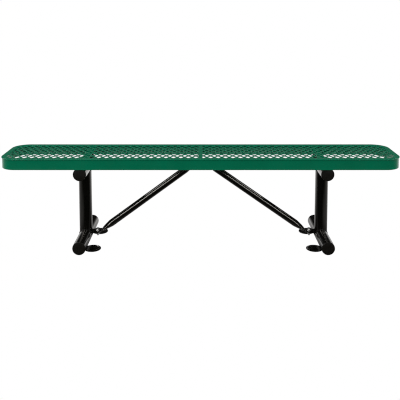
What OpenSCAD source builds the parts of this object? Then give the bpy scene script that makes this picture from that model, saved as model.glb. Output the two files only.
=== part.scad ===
// Backless street bench: a coated steel seat with an expanded-metal top,
// carried by two inverted-T tube legs and held square by two diagonal braces.
// X runs along the seat, Y across it, Z up. The origin is on the ground,
// under the middle of the seat.

/* [Seat] */
// Length of the seat over its lip
seat_l = 1828.8; // [1500:0.1:2400]
// Width of the seat over its lip
seat_w = 304.8; // [300:0.1:380]
// Height of the seat's top above the ground
seat_h = 431.8; // [400:0.1:500]
// Corner radius of the seat over its lip
corner_r = 76.2; // [60:0.1:100]
// Height of the frame, from the lip's top to the skirt's bottom edge
skirt_h = 50.8; // [45:0.1:60]
// Thickness of the coated skirt
skirt_t = 4; // [3:0.1:5]
// Thickness of the coated lip, whose outer edge is a half round
lip_t = 5.6; // [5:0.1:5.6]
// How far the lip stands out beyond the skirt
lip_over = 4.5; // [3:0.1:6]
// Width of the flat lip from its outer edge to the mesh
lip_w = 25.4; // [20:0.1:30]

/* [Expanded mesh] */
// Thickness of the coated mesh sheet
mesh_t = 4; // [4:0.1:6]
// How far the mesh lies below the lip's top
mesh_drop = 1.6; // [1.6:0.1:3]
// Distance between two openings of one row
pitch_x = 34; // [30:0.1:45]
// Distance between two rows of the same phase
pitch_y = 54.6; // [50:0.1:70]
// Place of the first opening from the middle, because the sheet is cut from stock
phase_x = -4.5; // [-8:0.1:8]
// How far the rows of openings lie behind the middle of the seat
phase_y = 9; // [0:0.1:10]
// Width of an opening
hole_w = 24; // [12:0.1:25]
// Length of an opening
hole_l = 36.4; // [24:0.1:38]
// Length of an opening's blunt side corner
hole_side = 4; // [3:0.1:6]
// Width of an opening's blunt tip
hole_tip = 4; // [3:0.1:5]

/* [Seat bars] */
// Width of the middle bar, and of the closed band of mesh above it
bar_w = 19; // [16:0.1:26]
// Height of the middle bar and of the two seat angles
bar_h = 38.1; // [34:0.1:44]
// Wall of the middle bar
bar_wall = 2; // [1.5:0.1:3]
// Width of a seat angle's level flange
angle_w = 31.8; // [28:0.1:44]
// Thickness of the seat angles
angle_t = 4.8; // [3:0.1:6]

/* [Legs] */
// Half of the distance between the two legs' axes
leg_x = 561; // [450:0.1:650]
// How far the middle between the legs lies towards the right end of the seat
leg_shift = 14; // [-15:0.5:15]
// Outer diameter of the leg tubes
tube_d = 60.3; // [55:0.1:65]
// Wall of the leg tubes
tube_wall = 3.2; // [2:0.1:5]
// Length of the tube under the seat
top_tube_l = 279.4; // [200:0.1:280]
// Length of the tube on the ground
foot_tube_l = 368.3; // [330:0.1:500]
// Thickness of an end cap's visible disc
cap_t = 3.2; // [2:0.1:4]
// Length of an end cap's plug inside the tube
plug_l = 14; // [8:0.1:20]

/* [Seat tabs] */
// Distance of each upright seat tab from the middle of the leg
tab_y = 75; // [60:0.1:90]
// Width of a seat tab
tab_w = 38; // [30:0.1:45]
// Thickness of a seat tab
tab_t = 6.4; // [5:0.1:8]
// Height of a seat tab above the tube
tab_h = 30; // [26:0.1:32]
// How far a tab's bolted face lies inboard of the leg's axis
tab_in = 4; // [2:0.1:10]
// Height of the seat bolts above the underside of the seat bars
seat_bolt_up = 18; // [14:0.1:20]

/* [Foot discs] */
// Diameter of a foot disc
disc_d = 76.2; // [60:0.1:90]
// Thickness of a foot disc
disc_t = 4.8; // [4:0.1:8]
// How far a disc's centre lies inboard of the leg's axis
disc_in = 49; // [44:0.1:56]
// Distance of a disc's centre from the middle of the leg
disc_y = 111; // [100:0.1:130]
// Diameter of an anchor hole
anchor_d = 14; // [11:0.1:16]
// How far an anchor hole lies inboard of the leg's axis
anchor_in = 70; // [66:0.1:72]

/* [Diagonal braces] */
// Outer diameter of a brace tube
brace_d = 33.4; // [26:0.1:35]
// Wall of a brace tube
brace_wall = 2.1; // [1.5:0.1:2.2]
// Thickness of a brace's pressed end
flat_t = 4.4; // [4:0.1:5]
// Width of a brace's pressed end
flat_w = 48; // [42:0.1:49]
// Length over which the round tube turns into the pressed end
press_l = 42; // [30:0.1:50]
// Distance from a brace bolt to the tip of the pressed end
tip_l = 19; // [16:0.1:20]
// Distance of the upper bend from the middle of the bench
upper_bend_x = 21.5; // [18:0.1:30]
// How far the lower bend lies inboard of the leg's axis
lower_bend_in = 74; // [72:0.1:90]
// How far the lower brace bolt lies inboard of the leg's axis
brace_bolt_in = 56; // [54:0.1:58]
// Height of the brace tab's underside
brace_tab_z = 42; // [40:0.1:44]
// Thickness of the brace tab
brace_tab_t = 4.8; // [4:0.1:6]
// How far the brace tab runs past its bolt
brace_tab_past = 20; // [16:0.1:22]

/* [Fasteners] */
// Shank diameter of the seat bolts and the lower brace bolts
bolt_d = 9.5; // [8:0.1:10]
// Shank diameter of the upper brace bolt
small_bolt_d = 7.9; // [6:0.1:8]
// Thickness of a washer
washer_t = 1.6; // [1:0.1:2.5]
// Clearance on the diameter between a bolt and the hole it passes
hole_gap = 0.9; // [0.5:0.1:1.5]

/* [Hidden] */
$fn = 64;
hull_fn = 32;
hex_fn = 6;
eps = 0.01;
// How far a cutter runs past the face it opens
past = 1;
thread_gap = 0.1;

mesh_top = seat_h - mesh_drop;
mesh_bottom = mesh_top - mesh_t;
inner_l = seat_l - 2 * lip_w;
inner_w = seat_w - 2 * lip_w;
inner_r = corner_r - lip_w;

bar_bottom = mesh_bottom - bar_h;
bar_run = seat_w - 2 * (lip_over + skirt_t);
tube_r = tube_d / 2;
tube_bore_d = tube_d - 2 * tube_wall;
top_axis_z = bar_bottom - tube_r;
foot_axis_z = tube_r;

// Place along the seat of something that lies inboard of a leg's axis
function leg_at(side, inboard = 0) = leg_shift + side * (leg_x - inboard);

seat_bolt_z = bar_bottom + seat_bolt_up;
// Fit-up gap on the diameter where a post's cope meets a level tube
cope_gap = 0.2;
cap_round = 1.4;

brace_tab_end = brace_bolt_in + brace_tab_past;
lower_flat_z = brace_tab_z + brace_tab_t;
// The right brace's pressed end lies against the bar, the left one under it
right_flat_z = bar_bottom - flat_t;
left_flat_z = right_flat_z - flat_t;

bolt_hole_d = bolt_d + hole_gap;
small_hole_d = small_bolt_d + hole_gap;
head_k = 1.7;
head_h = 0.68;
nut_h = 0.88;
washer_k = 2.3;
seat_grip = tab_t + angle_t + 2 * washer_t;
brace_grip = brace_tab_t + flat_t + 2 * washer_t;
seat_tail_l = 2;
brace_tail_l = 8;
insert_d = 12.6;
insert_l = 14;
insert_flange_d = 14.6;
insert_flange_t = 1;
slice_gap = 0.5;

// ---------- Colours ----------

module coated_green() { color([0, 0.38, 0.27]) children(); }
module coated_black() { color([0.06, 0.06, 0.06]) children(); }
module black_plastic() { color([0.09, 0.09, 0.09]) children(); }
module zinc() { color([0.7, 0.7, 0.68]) children(); }

// ---------- Shared shapes ----------

// A level rectangle with rounded corners
module rounded_rect(l, w, r) {
    square([l - 2 * r, w], center = true);
    square([l, w - 2 * r], center = true);
    for (sx = [-1, 1], sy = [-1, 1])
        translate([sx * (l / 2 - r), sy * (w / 2 - r)])
            circle(r);
}

// Sweeps a section around the seat's outline. The section's x is the distance
// from a corner's centre, and its y is the height.
module around_seat() {
    for (quarter = [0:3]) {
        along = quarter % 2 == 0;
        side = along ? seat_l : seat_w;
        run = along ? seat_w : seat_l;
        rotate([0, 0, 90 * quarter])
            translate([side / 2 - corner_r, 0, 0]) {
                rotate([90, 0, 0])
                    linear_extrude(run - 2 * corner_r, center = true)
                        children();
                translate([0, run / 2 - corner_r, 0])
                    rotate_extrude(angle = 90)
                        children();
            }
    }
}

// A cylinder along Y about the origin
module y_cylinder(d, l) {
    rotate([90, 0, 0]) cylinder(d = d, h = l, center = true);
}

// A hexagonal head or nut blank standing on z = 0
module hexagon(across, h) {
    cylinder(d = across / cos(30), h = h, $fn = hex_fn);
}

// A bolt hanging from z = 0 with its head on top
module hex_bolt(d, l) {
    hexagon(head_k * d, head_h * d);
    translate([0, 0, -l]) cylinder(d = d, h = l + eps);
}

// A nut on z = 0
module hex_nut(d) {
    difference() {
        hexagon(head_k * d, nut_h * d);
        translate([0, 0, -past]) cylinder(d = d + thread_gap, h = nut_h * d + 2 * past);
    }
}

// A washer on z = 0
module washer(d) {
    difference() {
        cylinder(d = washer_k * d, h = washer_t);
        translate([0, 0, -past]) cylinder(d = d + hole_gap, h = washer_t + 2 * past);
    }
}

// ---------- Seat ----------

// Section of the frame: a flat lip with a round edge over an upright skirt
module rim_section() {
    lip_low = seat_h - lip_t;
    skirt_low = seat_h - skirt_h;
    skirt_out = corner_r - lip_over;
    translate([corner_r - lip_w, lip_low])
        square([lip_w - lip_t / 2, lip_t]);
    translate([corner_r - lip_t / 2, seat_h - lip_t / 2])
        circle(d = lip_t);
    translate([skirt_out - skirt_t, skirt_low + skirt_t / 2])
        square([skirt_t, lip_low - skirt_low]);
    translate([skirt_out - skirt_t / 2, skirt_low + skirt_t / 2])
        circle(d = skirt_t);
}

module seat_rim() {
    coated_green() around_seat() rim_section();
}

// One opening of the mesh: a diamond with blunt corners
module mesh_hole() {
    w = hole_w / 2;
    l = hole_l / 2;
    side = hole_side / 2;
    tip = hole_tip / 2;
    polygon([
        [w, side], [tip, l], [-tip, l], [-w, side],
        [-w, -side], [-tip, -l], [tip, -l], [w, -side]
    ]);
}

// True where an opening reaches into the sheet
function opening_fits(x, y) =
    let (
        dx = abs(x) - (inner_l / 2 - inner_r),
        dy = abs(y) - (inner_w / 2 - inner_r),
        reach = hole_w / 4
    )
    abs(x) < inner_l / 2 + reach && (dx < 0 || dy < 0 || norm([dx, dy]) < inner_r + reach);

module seat_mesh() {
    rows = ceil(inner_w / pitch_y);
    columns = ceil(inner_l / 2 / pitch_x);
    coated_green()
        translate([0, 0, mesh_bottom])
            linear_extrude(mesh_t) {
                difference() {
                    rounded_rect(inner_l, inner_w, inner_r);
                    for (row = [-rows:rows], column = [-columns:columns]) {
                        shift = row % 2 == 0 ? 0.5 : 0;
                        x = (column + shift) * pitch_x + phase_x;
                        y = row * pitch_y / 2 + phase_y;
                        if (opening_fits(x, y)) translate([x, y]) mesh_hole();
                    }
                }
                square([bar_w, inner_w], center = true);
            }
}

// Rectangular tube under the closed band, with a hole for the threaded insert
module center_seat_bar() {
    coated_green()
        translate([0, 0, bar_bottom + bar_h / 2])
            difference() {
                cube([bar_w, bar_run, bar_h], center = true);
                cube([bar_w - 2 * bar_wall, bar_run + past, bar_h - 2 * bar_wall], center = true);
                translate([0, 0, -bar_h / 2])
                    cylinder(d = insert_d + thread_gap, h = 3 * bar_wall, center = true);
            }
}

// Angle with its level flange against the mesh and its web outboard
module seat_angle(side) {
    coated_green()
        difference() {
            union() {
                translate([leg_at(side, tab_in + angle_w / 2), 0, mesh_bottom - angle_t / 2])
                    cube([angle_w, bar_run, angle_t], center = true);
                translate([leg_at(side, tab_in + angle_t / 2), 0, bar_bottom + bar_h / 2])
                    cube([angle_t, bar_run, bar_h], center = true);
            }
            for (sy = [-1, 1])
                translate([leg_at(side, tab_in), sy * tab_y, seat_bolt_z])
                    rotate([0, 90, 0])
                        cylinder(d = bolt_hole_d, h = 4 * angle_t, center = true);
        }
}

module left_seat_angle() { seat_angle(-1); }
module right_seat_angle() { seat_angle(1); }

// ---------- Legs ----------

module leg_tube(side, z, l) {
    coated_black()
        translate([leg_at(side), 0, z])
            difference() {
                y_cylinder(tube_d, l);
                y_cylinder(tube_bore_d, l + past);
            }
}

module left_top_tube() { leg_tube(-1, top_axis_z, top_tube_l); }
module right_top_tube() { leg_tube(1, top_axis_z, top_tube_l); }
module left_foot_tube() { leg_tube(-1, foot_axis_z, foot_tube_l); }
module right_foot_tube() { leg_tube(1, foot_axis_z, foot_tube_l); }

// Upright tube, coped at both ends to sit on the level tubes
module leg_post(side) {
    coated_black()
        translate([leg_at(side), 0, 0])
            difference() {
                translate([0, 0, foot_axis_z])
                    cylinder(d = tube_d, h = top_axis_z - foot_axis_z);
                cylinder(d = tube_bore_d, h = seat_h);
                translate([0, 0, foot_axis_z]) y_cylinder(tube_d + cope_gap, 2 * tube_d);
                translate([0, 0, top_axis_z]) y_cylinder(tube_d + cope_gap, 2 * tube_d);
            }
}

module left_leg_post() { leg_post(-1); }
module right_leg_post() { leg_post(1); }

// Upright plate welded on the top tube, bolted to a seat angle's web
module seat_tab(side, front) {
    coated_black()
        translate([leg_at(side, tab_in - tab_t / 2), front * tab_y, 0])
            difference() {
                translate([0, 0, top_axis_z + (tube_r + tab_h) / 2])
                    cube([tab_t, tab_w, tube_r + tab_h], center = true);
                translate([side * (tab_in - tab_t / 2), 0, top_axis_z])
                    y_cylinder(tube_d, tab_w + past);
                translate([0, 0, seat_bolt_z])
                    rotate([0, 90, 0])
                        cylinder(d = bolt_hole_d, h = 2 * tab_t, center = true);
            }
}

module left_front_seat_tab() { seat_tab(-1, -1); }
module left_back_seat_tab() { seat_tab(-1, 1); }
module right_front_seat_tab() { seat_tab(1, -1); }
module right_back_seat_tab() { seat_tab(1, 1); }

// Plastic plug with a rounded disc that covers a tube's end
module end_cap(side, front, z, l) {
    plug_r = tube_bore_d / 2 - thread_gap;
    black_plastic()
        translate([leg_at(side), front * l / 2, z])
            rotate([-90 * front, 0, 0])
                rotate_extrude() {
                    square([tube_r - cap_round, cap_t]);
                    square([tube_r, cap_t - cap_round]);
                    translate([tube_r - cap_round, cap_t - cap_round]) circle(cap_round);
                    translate([0, -plug_l]) square([plug_r, plug_l + eps]);
                }
}

module left_front_top_cap() { end_cap(-1, -1, top_axis_z, top_tube_l); }
module left_back_top_cap() { end_cap(-1, 1, top_axis_z, top_tube_l); }
module right_front_top_cap() { end_cap(1, -1, top_axis_z, top_tube_l); }
module right_back_top_cap() { end_cap(1, 1, top_axis_z, top_tube_l); }
module left_front_foot_cap() { end_cap(-1, -1, foot_axis_z, foot_tube_l); }
module left_back_foot_cap() { end_cap(-1, 1, foot_axis_z, foot_tube_l); }
module right_front_foot_cap() { end_cap(1, -1, foot_axis_z, foot_tube_l); }
module right_back_foot_cap() { end_cap(1, 1, foot_axis_z, foot_tube_l); }

// Disc welded to the side of the foot tube, with a hole for a ground anchor
module foot_disc(side, front) {
    coated_black()
        translate([leg_at(side), front * disc_y, 0])
            difference() {
                translate([-side * disc_in, 0, 0]) cylinder(d = disc_d, h = disc_t);
                translate([0, 0, foot_axis_z]) y_cylinder(tube_d, 2 * disc_d);
                translate([-side * anchor_in, 0, -past]) cylinder(d = anchor_d, h = disc_t + 2 * past);
            }
}

module left_front_foot_disc() { foot_disc(-1, -1); }
module left_back_foot_disc() { foot_disc(-1, 1); }
module right_front_foot_disc() { foot_disc(1, -1); }
module right_back_foot_disc() { foot_disc(1, 1); }

// Level plate welded to the foot tube's inboard side, under the brace's end
module brace_tab(side) {
    coated_black()
        translate([leg_at(side), 0, brace_tab_z])
            difference() {
                union() {
                    translate([-side * brace_bolt_in / 2, 0, brace_tab_t / 2])
                        cube([brace_bolt_in, flat_w, brace_tab_t], center = true);
                    translate([-side * (brace_tab_end - flat_w / 2), 0, 0])
                        cylinder(d = flat_w, h = brace_tab_t);
                }
                translate([0, 0, foot_axis_z - brace_tab_z])
                    y_cylinder(tube_d, 2 * flat_w);
                translate([-side * brace_bolt_in, 0, -past])
                    cylinder(d = bolt_hole_d, h = brace_tab_t + 2 * past);
            }
}

module left_brace_tab() { brace_tab(-1); }
module right_brace_tab() { brace_tab(1); }

// ---------- Diagonal braces ----------

// Slice of a pressed end at a bend
module flat_slice(x, z) {
    translate([x, 0, z]) cube([2 * slice_gap, flat_w, flat_t], center = true);
}

// Thin round slice just inside the end of the brace tube
module tube_slice(along) {
    translate([0, 0, along])
        cylinder(d = brace_d - slice_gap, h = slice_gap, center = true, $fn = hull_fn);
}

// Level pressed end from a bend to its bolt, with a round tip past the bolt
module pressed_end(bend_x, bolt_x, z) {
    away = sign(bolt_x - bend_x);
    tip_x = bolt_x - away * (flat_w / 2 - tip_l);
    translate([(bend_x + tip_x) / 2, 0, z + flat_t / 2])
        cube([abs(tip_x - bend_x), flat_w, flat_t], center = true);
    translate([tip_x, 0, z]) cylinder(d = flat_w, h = flat_t);
}

// Tube with both ends pressed flat and bent level. Its upper bolt is on the
// bench's middle, its lower bolt on the brace tab of the given side.
module brace_shape(side, upper_z) {
    low_x = side * leg_at(side, lower_bend_in);
    bolt_x = leg_at(side, brace_bolt_in);
    top_z = upper_z + flat_t / 2;
    low_z = lower_flat_z + flat_t / 2;
    slope = atan2(top_z - low_z, low_x - upper_bend_x);
    run = norm([low_x - upper_bend_x, top_z - low_z]);
    difference() {
        union() {
            pressed_end(side * upper_bend_x, 0, upper_z);
            pressed_end(side * low_x, bolt_x, lower_flat_z);
            hull() {
                flat_slice(side * upper_bend_x, top_z);
                on_brace_axis(side, top_z, slope) tube_slice(press_l + slice_gap);
            }
            hull() {
                flat_slice(side * low_x, low_z);
                on_brace_axis(side, top_z, slope) tube_slice(run - press_l - slice_gap);
            }
            on_brace_axis(side, top_z, slope)
                translate([0, 0, press_l]) cylinder(d = brace_d, h = run - 2 * press_l);
        }
        on_brace_axis(side, top_z, slope)
            translate([0, 0, press_l + 2 * slice_gap])
                cylinder(d = brace_d - 2 * brace_wall, h = run - 2 * press_l - 4 * slice_gap);
        translate([0, 0, upper_z - past])
            cylinder(d = small_hole_d, h = flat_t + 2 * past);
        translate([bolt_x, 0, lower_flat_z - past])
            cylinder(d = bolt_hole_d, h = flat_t + 2 * past);
    }
}

// Puts z along the brace's axis, from its upper bend down and outboard
module on_brace_axis(side, top_z, slope) {
    translate([side * upper_bend_x, 0, top_z])
        rotate([0, side * (90 + slope), 0])
            children();
}

module left_diagonal_brace() {
    coated_black() brace_shape(-1, left_flat_z);
}

module right_diagonal_brace() {
    coated_black() brace_shape(1, right_flat_z);
}

// ---------- Fasteners ----------

// Places a child at each seat tab, with its z along the bolt, outboard
module at_seat_bolts() {
    for (side = [-1, 1], sy = [-1, 1])
        translate([leg_at(side, tab_in - tab_t - washer_t), sy * tab_y, seat_bolt_z])
            rotate([0, side * 90, 0])
                children();
}

// Places a child on each brace tab's bolt, with its z up from the washer
module at_brace_feet() {
    for (side = [-1, 1])
        translate([leg_at(side, brace_bolt_in), 0, lower_flat_z + flat_t + washer_t])
            children();
}

module seat_bolts() {
    zinc() at_seat_bolts() hex_bolt(bolt_d, seat_grip + nut_h * bolt_d + seat_tail_l);
}

module seat_washers() {
    zinc() at_seat_bolts() {
        translate([0, 0, -washer_t]) washer(bolt_d);
        translate([0, 0, -seat_grip]) washer(bolt_d);
    }
}

module seat_nuts() {
    zinc() at_seat_bolts() translate([0, 0, -seat_grip - nut_h * bolt_d]) hex_nut(bolt_d);
}

module brace_foot_bolts() {
    zinc() at_brace_feet() hex_bolt(bolt_d, brace_grip + nut_h * bolt_d + brace_tail_l);
}

module brace_foot_washers() {
    zinc() at_brace_feet() {
        translate([0, 0, -washer_t]) washer(bolt_d);
        translate([0, 0, -brace_grip]) washer(bolt_d);
    }
}

module brace_foot_nuts() {
    zinc() at_brace_feet() translate([0, 0, -brace_grip - nut_h * bolt_d]) hex_nut(bolt_d);
}

// Bolt from below, through both braces, into the threaded insert
module brace_top_bolt() {
    zinc()
        translate([0, 0, left_flat_z - washer_t])
            mirror([0, 0, 1])
                hex_bolt(small_bolt_d, washer_t + 2 * flat_t + insert_l);
}

module brace_top_washer() {
    zinc() translate([0, 0, left_flat_z - washer_t]) washer(small_bolt_d);
}

// Threaded insert pressed into the middle bar's lower wall
module brace_top_insert() {
    zinc()
        translate([0, 0, bar_bottom])
            difference() {
                union() {
                    cylinder(d = insert_d, h = insert_l);
                    translate([0, 0, bar_wall])
                        cylinder(d = insert_flange_d, h = insert_flange_t);
                }
                translate([0, 0, -past])
                    cylinder(d = small_bolt_d + thread_gap, h = insert_l + 2 * past);
            }
}

seat_rim();
seat_mesh();
center_seat_bar();
left_seat_angle();
right_seat_angle();
left_top_tube();
right_top_tube();
left_leg_post();
right_leg_post();
left_foot_tube();
right_foot_tube();
left_front_seat_tab();
left_back_seat_tab();
right_front_seat_tab();
right_back_seat_tab();
left_front_top_cap();
left_back_top_cap();
right_front_top_cap();
right_back_top_cap();
left_front_foot_cap();
left_back_foot_cap();
right_front_foot_cap();
right_back_foot_cap();
left_front_foot_disc();
left_back_foot_disc();
right_front_foot_disc();
right_back_foot_disc();
left_brace_tab();
right_brace_tab();
left_diagonal_brace();
right_diagonal_brace();
seat_bolts();
seat_washers();
seat_nuts();
brace_foot_bolts();
brace_foot_washers();
brace_foot_nuts();
brace_top_bolt();
brace_top_washer();
brace_top_insert();
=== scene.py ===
import math

import bmesh
import bpy
import numpy as np
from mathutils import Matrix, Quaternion, Vector


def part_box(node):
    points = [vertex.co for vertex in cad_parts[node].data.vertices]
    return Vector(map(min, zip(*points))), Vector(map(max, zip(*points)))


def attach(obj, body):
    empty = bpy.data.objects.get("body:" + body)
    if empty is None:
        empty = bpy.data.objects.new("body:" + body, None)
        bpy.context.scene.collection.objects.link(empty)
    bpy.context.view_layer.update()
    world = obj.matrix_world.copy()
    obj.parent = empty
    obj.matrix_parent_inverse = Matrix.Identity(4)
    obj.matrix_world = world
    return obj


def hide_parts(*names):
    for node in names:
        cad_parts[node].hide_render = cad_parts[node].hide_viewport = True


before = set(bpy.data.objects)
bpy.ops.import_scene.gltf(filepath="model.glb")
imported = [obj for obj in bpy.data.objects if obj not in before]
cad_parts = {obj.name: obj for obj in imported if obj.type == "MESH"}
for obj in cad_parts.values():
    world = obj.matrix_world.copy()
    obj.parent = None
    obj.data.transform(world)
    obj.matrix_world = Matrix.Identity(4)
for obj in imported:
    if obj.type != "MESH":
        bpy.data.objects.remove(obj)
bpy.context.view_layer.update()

# Backless street bench. The CAD frame sets every place and size: X along the
# seat, Y across it towards the back, Z up, origin on the ground. Shapes are
# written in millimetres and turned into metres when an object is made.

MM = 0.001
SIDES = {"left": -1, "right": 1}
ENDS = {"front": -1, "back": 1}


def span(node):
    """Lowest and highest corner of a CAD node, in millimetres."""
    lo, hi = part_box(node)
    return np.array(lo) / MM, np.array(hi) / MM


# ---------- Sizes in millimetres, read from the frame where it has them ----------

SEAT_LOW, SEAT_HIGH = span("seat_rim")
SEAT_L = SEAT_HIGH[0] - SEAT_LOW[0]
SEAT_W = SEAT_HIGH[1] - SEAT_LOW[1]
SEAT_TOP = SEAT_HIGH[2]
SKIRT_LOW = SEAT_LOW[2]
CORNER_R = 76.2
LIP_W = 25.4
LIP_T = 5.6
LIP_OVER = 3.2  # the CAD's skirt stands 1.3 further in
SKIRT_T = 4.0

MESH_LOW = span("seat_mesh")[0][2]
MESH_TOP = span("seat_mesh")[1][2]
HALF_PITCH_X = 17.0
HALF_PITCH_Y = 27.3
PHASE_X = -4.5
PHASE_Y = 9.0
STRAND_W = 6.2
BAND_W = 19.0
BAND_PROUD = 0.5

POST_LOW, POST_HIGH = span("right_leg_post")
TUBE_R = (POST_HIGH[0] - POST_LOW[0]) / 2
LEG_AXIS = {
    1: POST_HIGH[0] - TUBE_R,
    -1: span("left_leg_post")[0][0] + TUBE_R,
}
TUBE_WALL = 3.2
BORE_R = TUBE_R - TUBE_WALL
TOP_Z = span("right_top_tube")[1][2] - TUBE_R
FOOT_Z = TUBE_R
TOP_HALF = span("right_top_tube")[1][1]
FOOT_HALF = span("right_foot_tube")[1][1]

BRACE_R = 16.7
BRACE_FLAT_W = 48.0
BRACE_FLAT_T = 4.4
BRACE_TAB_T = 4.8
BRACE_PRESS = 60.0
BRACE_PAST_HOLE = 19.0
BRACE_BOLT_IN = 56.0
BRACE_BEND_IN = 74.0
BRACE_BEND_X = 21.5
ANCHOR_IN = 70.0
DISC_Y = 111.0
DISC_T = 4.8
DISC_WELD_HALF = 20.0
TAB_WELD_HALF = 23.0
ANCHOR_R = 7.0

ANGLE_T = 4.8
SEAT_TAB_T = 6.4

BOLT_R = 4.75
BOLT_HOLE_R = 5.2
SMALL_BOLT_R = 3.95
SMALL_HOLE_R = 4.4
INSERT_HOLE_R = 6.35
INSERT_R = 6.3
HEAD_K = 1.7
FACE_RING_K = 0.94
HEAD_H = 0.68
NUT_H = 0.88
WASHER_K = 2.3
WASHER_T = 1.6
THREAD_PITCH = 1.6


# ---------- Shapes ----------


class Shape:
    """Points in millimetres and faces of one piece, before it is an object."""

    def __init__(self):
        self.points = []
        self.faces = []

    def add(self, points, faces):
        base = len(self.points)
        self.points.extend(tuple(p) for p in points)
        self.faces.extend(tuple(base + i for i in face) for face in faces)
        return self

    def join(self, other, turn=None, move=(0, 0, 0)):
        """Adds another shape, turned and then moved."""
        points = np.array(other.points, float)
        if turn is not None:
            points = points @ np.array(turn, float).T
        return self.add(points + np.array(move, float), other.faces)

    def loft(self, rings, loop=False):
        """Joins closed rings of one size. Without loop, both end rings are filled."""
        rings = np.asarray(rings, float)
        rows, size = rings.shape[:2]
        faces = []
        for row in range(rows if loop else rows - 1):
            here, there = row * size, (row + 1) % rows * size
            for i in range(size):
                j = (i + 1) % size
                faces.append((here + i, here + j, there + j, there + i))
        if not loop:
            faces.append(tuple(range(size))[::-1])
            faces.append(tuple(range((rows - 1) * size, rows * size)))
        return self.add(rings.reshape(-1, 3), faces)


def new_object(name, shape):
    mesh = bpy.data.meshes.new(name)
    mesh.from_pydata(np.array(shape.points, float) * MM, [], shape.faces)
    piece = bpy.data.objects.new(name, mesh)
    bpy.context.scene.collection.objects.link(piece)
    return piece


def face_outwards(mesh):
    bm = bmesh.new()
    bm.from_mesh(mesh)
    bmesh.ops.recalc_face_normals(bm, faces=bm.faces)
    bm.to_mesh(mesh)
    bm.free()


def cut(piece, cutter_shape):
    """Takes a shape out of a piece, for a hole."""
    cutter = new_object("cutter", cutter_shape)
    face_outwards(piece.data)
    face_outwards(cutter.data)
    modifier = piece.modifiers.new("hole", "BOOLEAN")
    modifier.operation = "DIFFERENCE"
    modifier.solver = "EXACT"
    modifier.object = cutter
    depsgraph = bpy.context.evaluated_depsgraph_get()
    mesh = bpy.data.meshes.new_from_object(piece.evaluated_get(depsgraph))
    piece.modifiers.clear()
    piece.data = mesh
    bpy.data.objects.remove(cutter)


def finish_piece(piece, material, nodes=(), sharp=35):
    """Gives a piece its shading, its finish and its place on the frame."""
    face_outwards(piece.data)
    piece.data.shade_smooth()
    piece.data.set_sharp_from_angle(angle=math.radians(sharp))
    piece.data.materials.clear()
    piece.data.materials.append(material)
    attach(piece, "root")
    if nodes:
        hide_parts(*nodes)
    return piece


def arc(cx, cy, r, start, end, steps):
    """Points on an arc, angles in degrees."""
    angles = np.radians(np.linspace(start, end, steps + 1))
    return [(cx + r * math.cos(a), cy + r * math.sin(a)) for a in angles]


def inboard(side, distance):
    """Place along the seat of something inboard of a leg's axis."""
    return LEG_AXIS[side] - side * distance


def circle(r, count, cx=0.0, cy=0.0):
    angles = np.arange(count) * 2 * math.pi / count
    return np.stack([cx + r * np.cos(angles), cy + r * np.sin(angles)], axis=1)


def rounded_box(width, height, r, steps=4):
    """Closed outline of a rectangle with rounded corners, anticlockwise."""
    x, y = width / 2 - r, height / 2 - r
    outline = []
    for quarter, (sx, sy) in enumerate([(1, 1), (-1, 1), (-1, -1), (1, -1)]):
        outline += arc(sx * x, sy * y, r, 90 * quarter, 90 * quarter + 90, steps)
    return np.array(outline)


def inset(outline, distance):
    """An anticlockwise outline moved inward, point by point."""
    before = outline - np.roll(outline, 1, axis=0)
    after = np.roll(outline, -1, axis=0) - outline
    normals = []
    for edge in (before, after):
        edge = edge / np.linalg.norm(edge, axis=1, keepdims=True)
        normals.append(np.stack([edge[:, 1], -edge[:, 0]], axis=1))
    both = normals[0] + normals[1]
    along = 1 + (normals[0] * normals[1]).sum(axis=1, keepdims=True)
    return outline - distance * both / along


def lift(outline, z):
    """A flat outline as a ring at height z, or at a height for each point."""
    heights = np.broadcast_to(z, len(outline))
    return np.column_stack([outline, heights])


def plate(outline, hole_r, hole_at, low, high, bevel):
    """A flat plate with one round hole and eased edges."""
    centre = np.array(hole_at, float)
    rays = outline - centre
    rays = rays / np.linalg.norm(rays, axis=1, keepdims=True)
    hole = centre + hole_r * rays
    wide_hole = centre + (hole_r + bevel) * rays
    small = inset(outline, bevel)
    rings = [
        lift(hole, low + bevel), lift(wide_hole, low),
        lift(small, low), lift(outline, low + bevel),
        lift(outline, high - bevel), lift(small, high),
        lift(wide_hole, high), lift(hole, high - bevel),
    ]
    return Shape().loft(rings, loop=True)


def lathe(profile, count=64):
    """A solid turned about z, from (radius, height) pairs."""
    return Shape().loft([lift(circle(r, count), z) for r, z in profile])


def tube(outer_r, inner_r, half, count=96, ease=0.5):
    """A round tube along z with eased outer ends."""
    profile = [
        (inner_r, -half), (outer_r - ease, -half), (outer_r, -half + ease),
        (outer_r, half - ease), (outer_r - ease, half), (inner_r, half),
    ]
    rings = [lift(circle(r, count), z) for r, z in profile]
    return Shape().loft(rings, loop=True)


# Turns from a shape's own axes to the bench's. Each name says which way the
# shape's z points. HANGING keeps the shape's x pointing down.
ALONG_Y = [[1, 0, 0], [0, 0, 1], [0, -1, 0]]
ALONG_MINUS_Y = [[1, 0, 0], [0, 0, -1], [0, 1, 0]]
ALONG_X = [[0, 0, 1], [0, 1, 0], [-1, 0, 0]]
ALONG_MINUS_X = [[0, 0, -1], [0, 1, 0], [1, 0, 0]]
UPSIDE_DOWN = [[1, 0, 0], [0, -1, 0], [0, 0, -1]]
HANGING_MINUS_X = [[0, 0, -1], [0, 1, 0], [-1, 0, 0]]
ALONG_SIDE = {-1: ALONG_MINUS_X, 1: ALONG_X}
HANGING_SIDE = {-1: HANGING_MINUS_X, 1: ALONG_X}
ALONG_END = {-1: ALONG_MINUS_Y, 1: ALONG_Y}


# ---------- Materials ----------


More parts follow.
